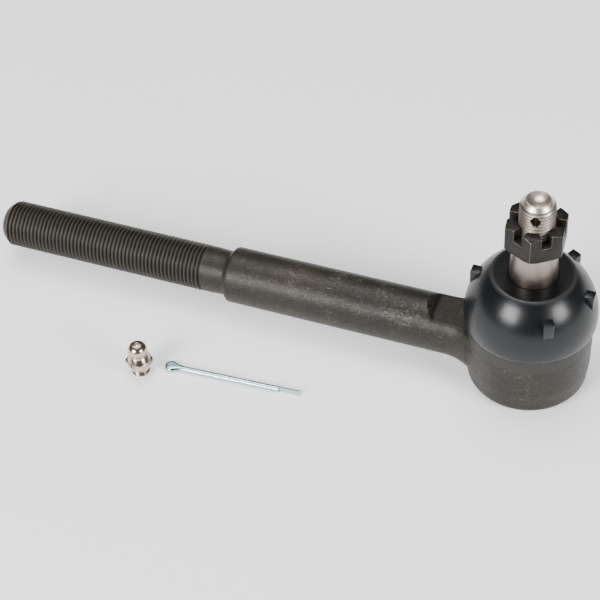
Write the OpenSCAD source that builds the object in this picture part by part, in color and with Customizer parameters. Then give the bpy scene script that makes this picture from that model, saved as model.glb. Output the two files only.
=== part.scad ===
// Outer tie rod end, greasable, two-piece bearing, with its loose nut-locking pin and grease fitting.
// The head stands on its base at z = 0 with the stud pointing up; the threaded shank runs along -X.

/* [Forging: shank] */
// Height of the shank axis above the base of the head
shank_z = 12.5; // [12:0.5:14]
// Distance from the head axis to the tip of the shank
shank_l = 188; // [156:1:230]
// Major diameter of the shank thread, 5/8 inch
rod_thread_d = 15.875; // [14:0.125:17]
// Length of the shank thread, chamfered end included
rod_thread_l = 76; // [50:1:95]
// Diameter of the plain length behind the thread
shank_plain_d = 15.6; // [13:0.1:16.5]
// Diameter of the neck in front of the collar
shank_neck_d = 15.2; // [13:0.1:16]
// Length between the thread and the front shoulder of the collar
shank_neck_l = 9; // [4:0.5:30]
// Diameter of the round collar
collar_d = 19.05; // [18:0.05:21]
// Height of the flat milled into the collar, above the shank axis
pocket_h = 7; // [5:0.5:8]
// How far the round cutter path that leaves the flat runs outside the head
pocket_reach = 11; // [7:0.5:18]

/* [Forging: head] */
// Wall of the head round the bearing bore
head_wall = 7; // [5.8:0.1:10]
// Radius of the rounded edge under the head
base_round = 3.6; // [2:0.1:5]
// Height of the head above the shoulder that stops the bearing race
head_top_h = 6.5; // [5.4:0.1:9]
// Height of the smooth machined shoulder and the boot groove together
shoulder_h = 8.4; // [6:0.1:10]
// Depth of the groove that holds the boot, below the widest part of the head
groove_depth = 2.8; // [2:0.1:3.2]

/* [Bearing] */
// Diameter of the ball that the stud head and the half ball form together
ball_d = 19; // [15:0.5:23]
// Wall of the bearing race
race_wall = 3.5; // [2.8:0.1:5]
// Swing of the stud to each side, in degrees
swing = 20; // [10:1:24]
// Clearance between surfaces that turn or slide on each other
fit = 0.05; // [0.02:0.01:0.1]

/* [Cover plate and spring] */
// Thickness of the cover plate
plate_t = 1.7; // [1.2:0.1:2]
// Width of the ledge that the cover plate sits against
plate_ledge = 1.6; // [1:0.1:2.5]
// Height of the rolled edge that holds the cover plate
rolled_h = 0.7; // [0.5:0.1:1]
// Width of the rolled edge
rolled_w = 1.4; // [0.8:0.1:2]
// Outside diameter of the boss around the grease port
boss_d = 10.8; // [9:0.2:12]
// Height of the boss, and length of the grease port
boss_h = 3.9; // [3.1:0.1:4.7]
// Diameter of the grease port, tapped 1/4 inch
port_d = 5.5; // [5:0.1:6.4]
// Thickness of the disc spring
spring_t = 0.9; // [0.6:0.1:1.2]
// Room between the cover plate and the lower seat
spring_room = 2.55; // [2:0.05:4]

/* [Stud and nut] */
// Height of the tip of the stud above the base
stud_z = 75.7; // [72:0.1:80]
// Major diameter of the stud thread, 7/16 inch
stud_thread_d = 11.1125; // [10:0.1:12]
// Diameter of the small end of the taper
taper_small_d = 14; // [13:0.1:15]
// Rise of the taper for each unit of its diameter
taper_ratio = 10; // [8:1:16]
// Length of the stud thread, from the small end of the taper to the tip
stud_thread_l = 18.2; // [15:0.1:24]
// Diameter of the hole across the stud for the locking pin
pin_hole_d = 3.2; // [2.6:0.1:3.6]
// Distance from the tip of the stud to that hole
pin_hole_below = 4.5; // [4:0.1:6]
// Direction of that hole about the stud axis, in degrees
pin_hole_turn = -83; // [-180:1:180]
// Size of the nut across its flats, 11/16 inch
nut_af = 17.4625; // [16:0.1:19]
// Height of the nut
nut_h = 9.5; // [8:0.1:11]
// Width of the slots in the nut
slot_w = 3.2; // [2.6:0.1:4]
// Depth of the slots in the nut
slot_depth = 4.2; // [3:0.1:5]
// Direction of one corner of the nut about the stud axis, in degrees
nut_turn = 34.5; // [0:0.1:60]

/* [Dust boot] */
// How far the round outside of the boot overhangs the head
boot_overhang = 1.1; // [0.9:0.1:3]
// Height of the boot above the top of the head
boot_h = 17.1; // [15:0.1:18]
// Wall of the boot
boot_wall = 1.9; // [1.4:0.1:2.2]
// Thickness of the flat top of the boot
boot_top_t = 2.5; // [2:0.1:3.5]
// Width of each block
lug_w = 3.5; // [2:0.1:5]
// How far the outer face of each block stands inside the boot's widest part
lug_inset = 1.4; // [1:0.1:2]
// Distance from the flat top of the boot down to the top face of each block
lug_below = 3.9; // [3:0.1:6]
// Directions of the small blocks moulded round the boot, in degrees
lug_turns = [-60, 0, 60, 120, 180]; // [-180:1:180]

/* [Locking pin] */
// Diameter of the closed pin
cotter_d = 2; // [1.6:0.1:3]
// Length from the end of the eye to the tip of the long leg
cotter_l = 47; // [35:1:60]
// How much shorter the other leg is
cotter_step = 7.2; // [3:0.1:10]
// Outside radius of the eye
eye_r = 2.3; // [2:0.1:4]
// Place of the centre of the eye on the bench, and the pin's direction in degrees
cotter_at = [-111.1, -36.1, 2.9]; // [-200:0.1:200]

/* [Grease fitting] */
// Overall height of the fitting
zerk_h = 13.7; // [13:0.1:16]
// Major diameter of its thread, 1/4 inch
zerk_thread_d = 6.2; // [5.5:0.1:6.8]
// Height at which its hexagon starts
zerk_hex_z = 4.4; // [4:0.1:6]
// Height of its hexagon
zerk_hex_h = 2.3; // [1.8:0.1:4]
// Size of its hexagon across the flats, 5/16 inch
zerk_af = 7.94; // [7:0.01:9]
// Diameter of its rounded nose
zerk_nose_d = 6.5; // [6:0.1:7]
// Diameter of the check ball
check_d = 2.3; // [2:0.1:2.6]
// Place of the fitting on the bench, and its turn in degrees
zerk_at = [-120.2, -40.6, 23.7]; // [-200:0.1:200]

/* [Hidden] */
$fn = 96;
boot_gap = 0.15;
leg_gap = 0.12;

// bearing, out from the ball
ball_r = ball_d / 2;
neck_r = 0.59 * ball_r;
bore_r = ball_r + race_wall;
seat_hole_r = 0.484 * ball_r;
head_cut = 0.79 * ball_r;
half_ball_h = 0.695 * ball_r;
seat_rim_drop = 0.41 * ball_r;
race_skirt = 0.22 * ball_r;
// the race opens above this height over the ball centre, so that the neck can swing
seat_rise = 0.526 * ball_r;

// bearing, up from the cover plate; the ball's lowest point is cut away level with the seat's base
plate_top_z = rolled_h + fit + plate_t;
seat_base_z = plate_top_z + spring_room;
ball_z = seat_base_z + ball_r;
race_top_z = ball_z + 0.737 * ball_r;
race_open_r = sqrt(pow(ball_r + fit, 2) - pow(seat_rise, 2));
race_mouth_r = race_open_r + (race_top_z - ball_z - seat_rise) * tan(swing) + 0.6;
mouth_foot_r = race_mouth_r + 0.25;
mouth_r = max(bore_r + 2, mouth_foot_r + 1.5);

// head
head_r = max(bore_r, mouth_r - 2) + head_wall;
head_h = race_top_z + head_top_h;
shoulder_z = head_h - shoulder_h;
shoulder_r = head_r - 1.1;
groove_r = head_r - groove_depth;
rim_r = head_r - 1.8;
groove_z = head_h - 2.6;
rim_z = head_h - 1;
plate_r = bore_r + plate_ledge;
spring_outer_r = bore_r - 0.8;
spring_inner_r = boss_d / 2 + 1;
collar_x = shank_l - rod_thread_l - shank_neck_l;

// stud and nut
flare_z = head_h - 2.5;
taper_foot_z = head_h + 3;
taper_top_z = stud_z - stud_thread_l;
nut_z = taper_top_z + 0.5;
nut_corner_r = nut_af / sqrt(3);

// boot
boot_r = head_r + boot_overhang;
boot_centre_z = head_h + 0.4;
boot_top_z = head_h + boot_h;
lug_r = boot_r - lug_inset;
lug_top_z = boot_top_z - lug_below;

// locking pin and grease fitting
eye_wire = cotter_d / 2;
check_z = zerk_h - 1.6;
chamber_r = check_d / 2 + fit;
chamber_foot_z = 4;

function arc(c, r, a0, a1, n = 16) =
    [for (i = [0:n]) let (a = a0 + (a1 - a0) * i / n) [c[0] + r * cos(a), c[1] + r * sin(a)]];
function taper_r(z) = taper_small_d / 2 + (taper_top_z - z) / (2 * taper_ratio);

// A solid turned about Z from half of its outline.
module turned(outline) rotate_extrude() polygon(outline);

// A solid skinned over rings of points that all have the same number of points.
module ring_solid(rings) {
    sides = len(rings[0]);
    last = len(rings) - 1;
    walls = [for (i = [0:last - 1], k = [0:sides - 1]) let (n = (k + 1) % sides)
        [i * sides + k, (i + 1) * sides + k, (i + 1) * sides + n, i * sides + n]];
    foot = [for (k = [0:sides - 1]) k];
    top = [for (k = [0:sides - 1]) last * sides + sides - 1 - k];
    polyhedron(points = [for (r = rings) each r], faces = concat(walls, [foot, top]));
}

// A rod along -X between two distances from the head axis.
module shank_rod(d1, d2, from, to)
    translate([-from, 0, shank_z]) rotate([0, -90, 0]) cylinder(d1 = d1, d2 = d2, h = to - from);

// A hexagonal prism whose corners are turned off at a slope at both ends.
module chamfered_hex(af, h, end_r, slope) {
    corner_r = af / sqrt(3);
    rise = (corner_r - end_r) * slope;
    intersection() {
        cylinder(r = corner_r, h = h, $fn = 6);
        turned([[0, 0], [end_r, 0], [corner_r, rise], [corner_r, h - rise], [end_r, h], [0, h]]);
    }
}

module shank() {
    tip_chamfer = 3;
    tip_drop = 2.4;
    thread_end = shank_l - rod_thread_l;
    plain_x = thread_end - 0.4 * shank_neck_l;
    fillet = 1;
    shank_rod(rod_thread_d, rod_thread_d, thread_end, shank_l - tip_chamfer);
    shank_rod(rod_thread_d, rod_thread_d - 2 * tip_drop, shank_l - tip_chamfer, shank_l);
    shank_rod(shank_plain_d, shank_plain_d, plain_x, thread_end);
    shank_rod(shank_neck_d, shank_plain_d, collar_x + fillet, plain_x);
    shank_rod(shank_neck_d + 1.6 * fillet, shank_neck_d, collar_x, collar_x + fillet);
}

module collar() {
    flare_l = 8;
    cutter_r = head_r + pocket_reach;
    difference() {
        union() {
            shank_rod(collar_d, collar_d, 0, collar_x);
            shank_rod(collar_d + 4, collar_d, head_r - 2, head_r - 2 + flare_l);
        }
        // the cutter leaves a wall that slopes at 45 degrees
        translate([0, 0, shank_z + pocket_h])
            cylinder(r1 = cutter_r, r2 = cutter_r + collar_d, h = collar_d);
    }
}

module head_outside() {
    foot_r = head_r - 0.5;
    widest_z = base_round + 5.4;
    turned(concat(
        [[0, 0]],
        arc([foot_r - base_round, base_round], base_round, -90, 0),
        [[head_r, widest_z], [head_r, shoulder_z], [shoulder_r, groove_z], [groove_r, groove_z],
         [groove_r, rim_z], [rim_r, rim_z], [rim_r, head_h], [0, head_h]]));
}

module head_inside() {
    rolled_r = plate_r - rolled_w;
    turned([[0, -1], [rolled_r, -1], [rolled_r, rolled_h], [plate_r, rolled_h],
            [plate_r, plate_top_z + fit], [bore_r, plate_top_z + fit], [bore_r, race_top_z],
            [mouth_foot_r, race_top_z], [mouth_r, head_h], [mouth_r, head_h + 1],
            [0, head_h + 1]]);
}

module forged_body() color([0.30, 0.28, 0.26]) {
    difference() {
        union() {
            shank();
            collar();
            head_outside();
        }
        head_inside();
    }
}

module cover_plate() color([0.62, 0.62, 0.60]) {
    edge_r = plate_r - fit;
    turned([[port_d / 2, 0], [boss_d / 2, 0], [boss_d / 2, rolled_h + fit],
            [edge_r, rolled_h + fit], [edge_r, plate_top_z], [boss_d / 2, plate_top_z],
            [boss_d / 2, boss_h], [port_d / 2, boss_h]]);
}

module preload_spring() color([0.45, 0.47, 0.50]) {
    low = plate_top_z + fit;
    high = seat_base_z - fit;
    turned([[spring_outer_r, low], [spring_outer_r, low + spring_t],
            [spring_inner_r, high], [spring_inner_r, high - spring_t]]);
}

module pressure_seat() color([0.70, 0.66, 0.55]) {
    cup_r = ball_r + fit;
    rim_z = ball_z - seat_rim_drop;
    turned(concat(
        [[seat_hole_r, seat_base_z], [bore_r - fit, seat_base_z], [bore_r - fit, rim_z]],
        arc([0, ball_z], cup_r, -asin(seat_rim_drop / cup_r), -acos(seat_hole_r / cup_r))));
}

module upper_race() color([0.58, 0.56, 0.52]) {
    cup_r = ball_r + fit;
    race_r = bore_r - fit;
    top = race_top_z - fit;
    foot = ball_z - race_skirt;
    turned(concat(
        [[cup_r + fit, foot], [race_r, foot], [race_r, top], [race_mouth_r, top]],
        arc([0, ball_z], cup_r, asin(seat_rise / cup_r), 0),
        [[cup_r + fit, ball_z - fit]]));
}

module half_ball_bearing() color([0.72, 0.70, 0.66]) {
    turned(concat(
        [[neck_r + fit, ball_z + fit]],
        arc([0, ball_z], ball_r, asin(fit / ball_r), asin(half_ball_h / ball_r)),
        [[neck_r + fit, ball_z + half_ball_h]]));
}

module stud_turning() {
    tip_chamfer = 2.1;
    cup_depth = 1.4;
    thread_r = stud_thread_d / 2;
    tip_r = thread_r - 1.7;
    cup_r = tip_r - 0.4;
    turned(concat(
        [[0, ball_z - head_cut]],
        arc([0, ball_z], ball_r, -asin(head_cut / ball_r), -asin(fit / ball_r)),
        [[neck_r, ball_z - fit], [neck_r, flare_z], [taper_r(taper_foot_z), taper_foot_z],
         [taper_small_d / 2, taper_top_z], [thread_r, taper_top_z],
         [thread_r, stud_z - tip_chamfer], [tip_r, stud_z], [cup_r, stud_z],
         [0, stud_z - cup_depth]]));
}

module ball_stud() color([0.66, 0.61, 0.56]) {
    difference() {
        stud_turning();
        translate([0, 0, stud_z - pin_hole_below]) rotate([0, 0, pin_hole_turn]) rotate([0, 90, 0])
            cylinder(d = pin_hole_d, h = 2 * stud_thread_d, center = true);
    }
}

module castle_nut() color([0.27, 0.25, 0.23]) {
    translate([0, 0, nut_z]) rotate([0, 0, nut_turn]) difference() {
        chamfered_hex(nut_af, nut_h, nut_corner_r * 0.906, 0.6);
        translate([0, 0, -1]) cylinder(d = stud_thread_d + 2 * fit, h = nut_h + 2);
        for (i = [0:2]) rotate([0, 0, 30 + 60 * i])
            translate([-nut_af, -slot_w / 2, nut_h - slot_depth])
                cube([2 * nut_af, slot_w, slot_depth + 1]);
    }
}

module boot_shell() {
    inner_r = boot_r - boot_wall;
    bore_top = taper_r(boot_top_z) + fit;
    bore_low = taper_r(boot_top_z - boot_top_t) + fit;
    bead_r = groove_r + boot_gap;
    bead_low = groove_z + boot_gap;
    bead_high = rim_z - boot_gap;
    lip_a = -asin((boot_centre_z - bead_low - 1.2) / boot_r);
    turned(concat(
        [[bead_r, bead_low], [shoulder_r, bead_low], [boot_r - 0.9, bead_low + 0.4]],
        arc([0, boot_centre_z], boot_r, lip_a, asin((boot_top_z - boot_centre_z) / boot_r)),
        [[bore_top, boot_top_z], [bore_low, boot_top_z - boot_top_t]],
        arc([0, boot_centre_z], inner_r,
            asin((boot_top_z - boot_top_t - boot_centre_z) / inner_r),
            -asin((boot_centre_z - bead_high) / inner_r)),
        [[bead_r, bead_high]]));
}

module boot_lug() {
    foot_z = boot_centre_z + sqrt(pow(boot_r, 2) - pow(lug_r, 2)) - 1;
    root_r = sqrt(pow(boot_r, 2) - pow(lug_top_z - boot_centre_z, 2)) - 1.2;
    rotate([90, 0, 0]) translate([0, 0, -lug_w / 2]) linear_extrude(lug_w)
        polygon([[root_r, lug_top_z], [lug_r, lug_top_z], [lug_r, foot_z], [lug_r - 1.2, foot_z]]);
}

module dust_boot() color([0.16, 0.17, 0.19]) {
    boot_shell();
    for (turn = lug_turns) rotate([0, 0, turn]) boot_lug();
}

// The pin's inner face as a line in its own plane: in along the short leg, round the eye, out along
// the long leg, with a bend of its own between each leg and the eye. The round side of the wire is
// on the left of the way it runs.
function cotter_path() =
    let (flat_r = eye_r - eye_wire, bend_r = 9, side = leg_gap / 2,
         leg_x = sqrt(pow(flat_r + bend_r, 2) - pow(side + bend_r, 2)),
         a = asin((side + bend_r) / (flat_r + bend_r)), step = 12)
    concat([[cotter_l - eye_r - cotter_step, -side]],
           arc([leg_x, -side - bend_r], bend_r, 90, 180 - a, 5),
           arc([0, 0], flat_r, -a - step, a - 360 + step, 22),
           arc([leg_x, side + bend_r], bend_r, 180 + a, 270, 5),
           [[cotter_l - eye_r, side]]);

// Outline of the half-round wire where it crosses one point of a path.
function half_round_ring(path, i) =
    let (last = len(path) - 1, back = path[max(i - 1, 0)], ahead = path[min(i + 1, last)],
         run = ahead - back, left = [-run[1], run[0]] / norm(run))
    [for (b = [-90:22.5:90]) let (out = eye_wire * cos(b))
        [path[i][0] + left[0] * out, path[i][1] + left[1] * out, eye_wire * sin(b)]];

module cotter_pin() color([0.74, 0.78, 0.80]) {
    path = cotter_path();
    translate([cotter_at[0], cotter_at[1], eye_wire]) rotate([0, 0, cotter_at[2]])
        ring_solid([for (i = [0:len(path) - 1]) half_round_ring(path, i)]);
}

module zerk_outside() {
    thread_r = zerk_thread_d / 2;
    nose_r = zerk_nose_d / 2;
    neck_r = nose_r - 0.5;
    nose_round = nose_r - 0.6;
    top_r = 1.5;
    hex_top = zerk_hex_z + zerk_hex_h;
    hex_end_r = zerk_af / 2 - 0.1;
    widest_z = zerk_h - 2.8;
    turned(concat(
        [[0, 0], [thread_r - 0.9, 0], [thread_r, 1.6], [thread_r, zerk_hex_z + 0.5],
         [hex_end_r, hex_top - 0.5], [hex_end_r, hex_top], [neck_r, hex_top + 1.7],
         [neck_r, widest_z - 1.4], [nose_r, widest_z - 0.4]],
        arc([nose_r - nose_round, widest_z], nose_round, 0, 70, 8),
        [[top_r, zerk_h], [0, zerk_h]]));
    translate([0, 0, zerk_hex_z]) chamfered_hex(zerk_af, zerk_hex_h, hex_end_r, 0.6);
}

module zerk_inside() {
    port_r = 0.8;
    turned(concat(
        [[0, -1], [port_r, -1], [port_r, chamber_foot_z], [chamber_r, chamber_foot_z]],
        arc([0, check_z], chamber_r, 0, acos(port_r / chamber_r), 8),
        [[port_r, zerk_h + 1], [0, zerk_h + 1]]));
}

module at_zerk() translate([zerk_at[0], zerk_at[1], 0]) rotate([0, 0, zerk_at[2]]) children();

module grease_fitting() color([0.82, 0.74, 0.64]) {
    at_zerk() difference() {
        zerk_outside();
        zerk_inside();
    }
}

module check_ball() color([0.55, 0.55, 0.56]) {
    at_zerk() translate([0, 0, check_z]) sphere(d = check_d);
}

// One ring of a round wire wound on a helix, at a fraction of its whole turns.
function wire_ring(share, turns, coil_r, low, high, wire_r, sides) =
    [for (k = [0:sides - 1])
        let (a = 360 * turns * share, b = 360 * k / sides, r = coil_r + wire_r * cos(b))
        [r * cos(a), r * sin(a), low + (high - low) * share + wire_r * sin(b)]];

// A coil spring that rises from one height to another.
module coil(turns, coil_r, low, high, wire_r) {
    last = 16 * turns;
    ring_solid([for (i = [0:last]) wire_ring(i / last, turns, coil_r, low, high, wire_r, 6)]);
}

module check_spring() color([0.6, 0.6, 0.62]) {
    wire_r = 0.14;
    turns = 7;
    low = chamber_foot_z + wire_r + fit;
    high = check_z - check_d / 2 - wire_r - fit;
    at_zerk() coil(turns, chamber_r - wire_r - 2 * fit, low, high, wire_r);
}

forged_body();
cover_plate();
preload_spring();
pressure_seat();
upper_race();
half_ball_bearing();
ball_stud();
castle_nut();
dust_boot();
cotter_pin();
grease_fitting();
check_ball();
check_spring();
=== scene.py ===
"""Looks of an outer tie rod end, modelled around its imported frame.

Lengths are metres in the part's own frame: +Z up the head axis from the base of the head, -X out
along the threaded shank. MM turns a size in millimetres into metres.
"""

import logging
import math
from dataclasses import dataclass, field
from enum import Enum
from typing import Any, Sequence

import bmesh
import bpy
from mathutils import Matrix, Vector

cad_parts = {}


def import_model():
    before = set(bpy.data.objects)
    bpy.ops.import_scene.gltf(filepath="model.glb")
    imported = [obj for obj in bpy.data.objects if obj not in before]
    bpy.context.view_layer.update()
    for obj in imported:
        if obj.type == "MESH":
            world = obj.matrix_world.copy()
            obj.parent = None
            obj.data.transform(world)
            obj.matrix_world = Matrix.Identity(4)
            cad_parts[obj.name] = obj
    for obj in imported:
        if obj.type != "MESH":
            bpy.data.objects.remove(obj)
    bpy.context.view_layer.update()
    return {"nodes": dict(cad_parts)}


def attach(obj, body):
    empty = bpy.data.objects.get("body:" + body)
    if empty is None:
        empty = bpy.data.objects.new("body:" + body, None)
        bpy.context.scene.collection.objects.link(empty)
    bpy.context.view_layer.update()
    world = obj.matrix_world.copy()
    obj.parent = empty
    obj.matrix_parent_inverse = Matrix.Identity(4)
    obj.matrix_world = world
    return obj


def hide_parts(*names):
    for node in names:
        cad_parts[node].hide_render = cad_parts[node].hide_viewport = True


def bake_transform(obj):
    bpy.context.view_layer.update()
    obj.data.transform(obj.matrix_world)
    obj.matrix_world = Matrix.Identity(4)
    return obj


LOG = logging.getLogger("tie_rod_end")
MM = 0.001
FULL_TURN = 2 * math.pi
THREAD_DEPTH, THREAD_ROUNDING = 0.6, 0.05  # shares of the pitch
THREAD_LEAD = 1.37  # turns wound below a thread's cut end
FINER = 7  # how many times finer a metal's scratches are than its smears
EDGE = 0.0004  # half the width, in metres, over which the thread's look fades in

Piece = bpy.types.Object
Socket = bpy.types.NodeSocket
Material = bpy.types.Material
Outline = list[tuple[float, float]]
Spot = tuple[float, float, float]
Colour = tuple[float, float, float]


class Body(Enum):
    """The bodies of the frame that visible pieces ride on."""

    HEAD = "head"
    RACE = "race"
    HALF_BALL = "half_ball"
    STUD = "stud"
    NUT = "nut"
    LOCKING_PIN = "locking_pin"
    FITTING = "fitting"
    LOWER_SEAT = "lower_seat"
    FITTING_BALL = "fitting_ball"


class Carve(Enum):
    """What a cutting tool does to the piece it meets."""

    CUT = "DIFFERENCE"
    KEEP = "INTERSECT"
    ADD = "UNION"


# ---------------------------------------------------------------- modelling by hand


def clear_selection() -> None:
    """Leaves edit mode and selects nothing."""
    if bpy.context.mode != "OBJECT":
        bpy.ops.object.mode_set(mode="OBJECT")
    bpy.ops.object.select_all(action="DESELECT")


def pick(piece: Piece) -> None:
    """Makes one piece the only selected and the active one."""
    clear_selection()
    piece.select_set(True)
    bpy.context.view_layer.objects.active = piece


def edit(piece: Piece, kind: str = "VERT") -> None:
    """Opens a piece in edit mode with all of it selected."""
    pick(piece)
    bpy.ops.object.mode_set(mode="EDIT")
    bpy.ops.mesh.select_mode(type=kind)
    bpy.ops.mesh.select_all(action="SELECT")


def close_up(piece: Piece, gap: float = 1e-6) -> None:
    """Merges doubled points and points every face outwards.

    Args:
        piece: The piece to clean.
        gap: Points nearer than this become one.
    """
    edit(piece)
    bpy.ops.mesh.remove_doubles(threshold=gap)
    bpy.ops.mesh.select_all(action="SELECT")
    bpy.ops.mesh.normals_make_consistent(inside=False)
    bpy.ops.object.mode_set(mode="OBJECT")
    shell = bmesh.new()
    shell.from_mesh(piece.data)
    inside_out = shell.calc_volume(signed=True) < 0
    shell.free()
    if inside_out:
        edit(piece)
        bpy.ops.mesh.flip_normals()
        bpy.ops.object.mode_set(mode="OBJECT")


def seal(piece: Piece, gap: float = 4e-6) -> None:
    """Removes slivers, closes pinholes left by cutting, and turns the faces outwards.

    Args:
        piece: The piece to mend.
        gap: Slivers thinner than this are removed.
    """
    edit(piece)
    bpy.ops.mesh.remove_doubles(threshold=gap)
    bpy.ops.mesh.dissolve_degenerate(threshold=gap)
    bpy.ops.mesh.delete_loose()
    bpy.ops.mesh.select_all(action="SELECT")
    bpy.ops.mesh.fill_holes(sides=0)
    bpy.ops.object.mode_set(mode="OBJECT")
    close_up(piece)


def settle(piece: Piece) -> None:
    """Moves a piece's place, turn and size into its mesh."""
    pick(piece)
    bpy.ops.object.transform_apply(location=True, rotation=True, scale=True)


def modify(piece: Piece, kind: str, **settings: Any) -> None:
    """Adds one modifier and applies it.

    Args:
        piece: The piece to change.
        kind: The modifier's type.
        **settings: Its settings, by name.
    """
    pick(piece)
    step = piece.modifiers.new("step", kind)
    for key, value in settings.items():
        setattr(step, key, value)
    bpy.ops.object.modifier_apply(modifier=step.name)


def carve(piece: Piece, tool: Piece, how: Carve) -> None:
    """Cuts, keeps or adds where a tool meets a piece, and removes the tool."""
    modify(piece, "BOOLEAN", object=tool, operation=how.value, solver="EXACT")
    bpy.data.objects.remove(tool)


def join(name: str, pieces: Sequence[Piece]) -> Piece:
    """Joins several pieces into one named object.

    Args:
        name: The name of the result.
        pieces: The pieces, whose meshes stay closed shells of their own.

    Returns:
        The joined object.
    """
    clear_selection()
    for piece in pieces:
        piece.select_set(True)
    bpy.context.view_layer.objects.active = pieces[0]
    bpy.ops.object.join()
    pieces[0].name = name
    return pieces[0]


def smooth(piece: Piece, degrees: float = 32) -> None:
    """Shades a piece smooth where its faces meet at less than an angle."""
    pick(piece)
    bpy.ops.object.shade_smooth_by_angle(angle=math.radians(degrees))


def draw(name: str, outline: Outline) -> Piece:
    """Draws an outline in the XZ plane, one extruded point after another.

    Args:
        name: The name of the new object.
        outline: Points as (distance from the Z axis, height), in millimetres.

    Returns:
        The object, in edit mode.
    """
    clear_selection()
    bpy.ops.mesh.primitive_plane_add(size=MM, location=(0, 0, 0))
    piece = bpy.context.object
    piece.name = name
    edit(piece)
    bpy.ops.mesh.merge(type="CENTER")
    radius, height = outline[0]
    bpy.ops.transform.translate(value=(radius * MM, 0, height * MM))
    for (r0, z0), (r1, z1) in zip(outline, outline[1:]):
        run = ((r1 - r0) * MM, 0, (z1 - z0) * MM)
        bpy.ops.mesh.extrude_vertices_move(TRANSFORM_OT_translate={"value": run})
    return piece


def turn(name: str, outline: Outline, steps: int = 128) -> Piece:
    """Turns an outline about the Z axis into a closed solid.

    Args:
        name: The name of the new object.
        outline: Points as (radius, height) in millimetres. Both ends lie on the axis, or the
            outline is joined back to its start.
        steps: How many faces go round.

    Returns:
        The turned object.
    """
    on_axis = abs(outline[0][0]) < 1e-9 and abs(outline[-1][0]) < 1e-9
    piece = draw(name, outline if on_axis else outline + outline[:1])
    bpy.ops.mesh.select_all(action="SELECT")
    bpy.ops.mesh.spin(steps=steps, angle=FULL_TURN, center=(0, 0, 0), axis=(0, 0, 1))
    close_up(piece)
    return piece


def round_bar(name: str, radius: float, length: float, at: Spot, turned: Spot = (0, 0, 0),
              sides: int = 96) -> Piece:
    """Adds a bar as a cutting tool or a blank.

    Args:
        name: The name of the new object.
        radius: Its radius in millimetres.
        length: Its length in millimetres.
        at: The middle of the bar, in metres.
        turned: Its turn about X, Y and Z, in radians.
        sides: How many faces go round.

    Returns:
        The bar.
    """
    clear_selection()
    bpy.ops.mesh.primitive_cylinder_add(vertices=sides, radius=radius * MM, depth=length * MM,
                                        location=at, rotation=turned)
    bpy.context.object.name = name
    settle(bpy.context.object)
    return bpy.data.objects[name]


def block(name: str, size: Spot, at: Spot, heading: float) -> Piece:
    """Adds a block as a cutting tool.

    Args:
        name: The name of the new object.
        size: Its size along X, Y and Z, in millimetres.
        at: Its middle, in metres, before it is turned about the Z axis.
        heading: Its turn about the Z axis of the frame, in radians.

    Returns:
        The block.
    """
    clear_selection()
    bpy.ops.mesh.primitive_cube_add(size=MM, location=at)
    piece = bpy.context.object
    piece.name = name
    piece.scale = size
    settle(piece)
    piece.rotation_euler = (0, 0, heading)
    settle(piece)
    return piece


def thread(name: str, radius: float, pitch: float, low: float, high: float,
           steps: int = 72) -> Piece:
    """Models a right-hand rolled thread about the Z axis, cut flat at both ends.

    Args:
        name: The name of the new object.
        radius: The thread's outer radius in millimetres.
        pitch: The rise of one turn in millimetres.
        low: The height of its lower end in millimetres.
        high: The height of its upper end in millimetres.
        steps: How many faces go round.

    Returns:
        The threaded bar.
    """
    root = radius - THREAD_DEPTH * pitch
    soft = THREAD_ROUNDING * pitch
    start = low - THREAD_LEAD * pitch
    profile = [(root, 0.0), (root, 0.14), (root + soft, 0.19), (radius - soft, 0.49),
               (radius, 0.54), (radius, 0.61), (radius - soft, 0.66), (root + soft, 0.95),
               (root, 1.0)]
    bar = draw(name, [(r, start + pitch * share) for r, share in profile])
    bpy.ops.object.mode_set(mode="OBJECT")
    modify(bar, "SCREW", axis="Z", steps=steps, render_steps=steps, angle=FULL_TURN,
           screw_offset=pitch * MM, iterations=math.ceil((high - low) / pitch) + 3)
    edit(bar)
    bpy.ops.mesh.remove_doubles(threshold=1e-6)
    for height, below in ((low, True), (high, False)):
        bpy.ops.mesh.select_all(action="SELECT")
        bpy.ops.mesh.bisect(plane_co=(0, 0, height * MM), plane_no=(0, 0, 1), use_fill=False,
                            clear_inner=below, clear_outer=not below)
    bpy.ops.mesh.select_all(action="SELECT")
    bpy.ops.mesh.remove_doubles(threshold=2e-6)
    bpy.ops.mesh.select_all(action="DESELECT")
    bpy.ops.mesh.select_non_manifold(extend=False)
    bpy.ops.mesh.edge_face_add()
    close_up(bar)
    return bar


def arc(centre: tuple[float, float], radius: float, start: float, end: float,
        steps: int = 12) -> Outline:
    """Lists the points of an arc.

    Args:
        centre: The arc's centre.
        radius: Its radius.
        start: Its first angle in degrees.
        end: Its last angle in degrees.
        steps: How many straight pieces it has.

    Returns:
        Its points, both ends included.
    """
    turns = [math.radians(start + (end - start) * i / steps) for i in range(steps + 1)]
    return [(centre[0] + radius * math.cos(a), centre[1] + radius * math.sin(a)) for a in turns]


def hexagon(name: str, flats: float, low: float, height: float,
            heading: float = 0.0) -> Piece:
    """Adds an upright hexagonal bar.

    Args:
        name: Its name.
        flats: Its size across the flats.
        low: The height of its foot.
        height: Its height.
        heading: The direction of one corner, in degrees.

    Returns:
        The bar.
    """
    bar = round_bar(name, flats / math.sqrt(3), height, (0, 0, (low + height / 2) * MM), sides=6)
    first = bar.data.vertices[0].co
    bar.rotation_euler = (0, 0, math.radians(heading) - math.atan2(first.y, first.x))
    settle(bar)
    return bar


# ---------------------------------------------------------------- node trees


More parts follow.
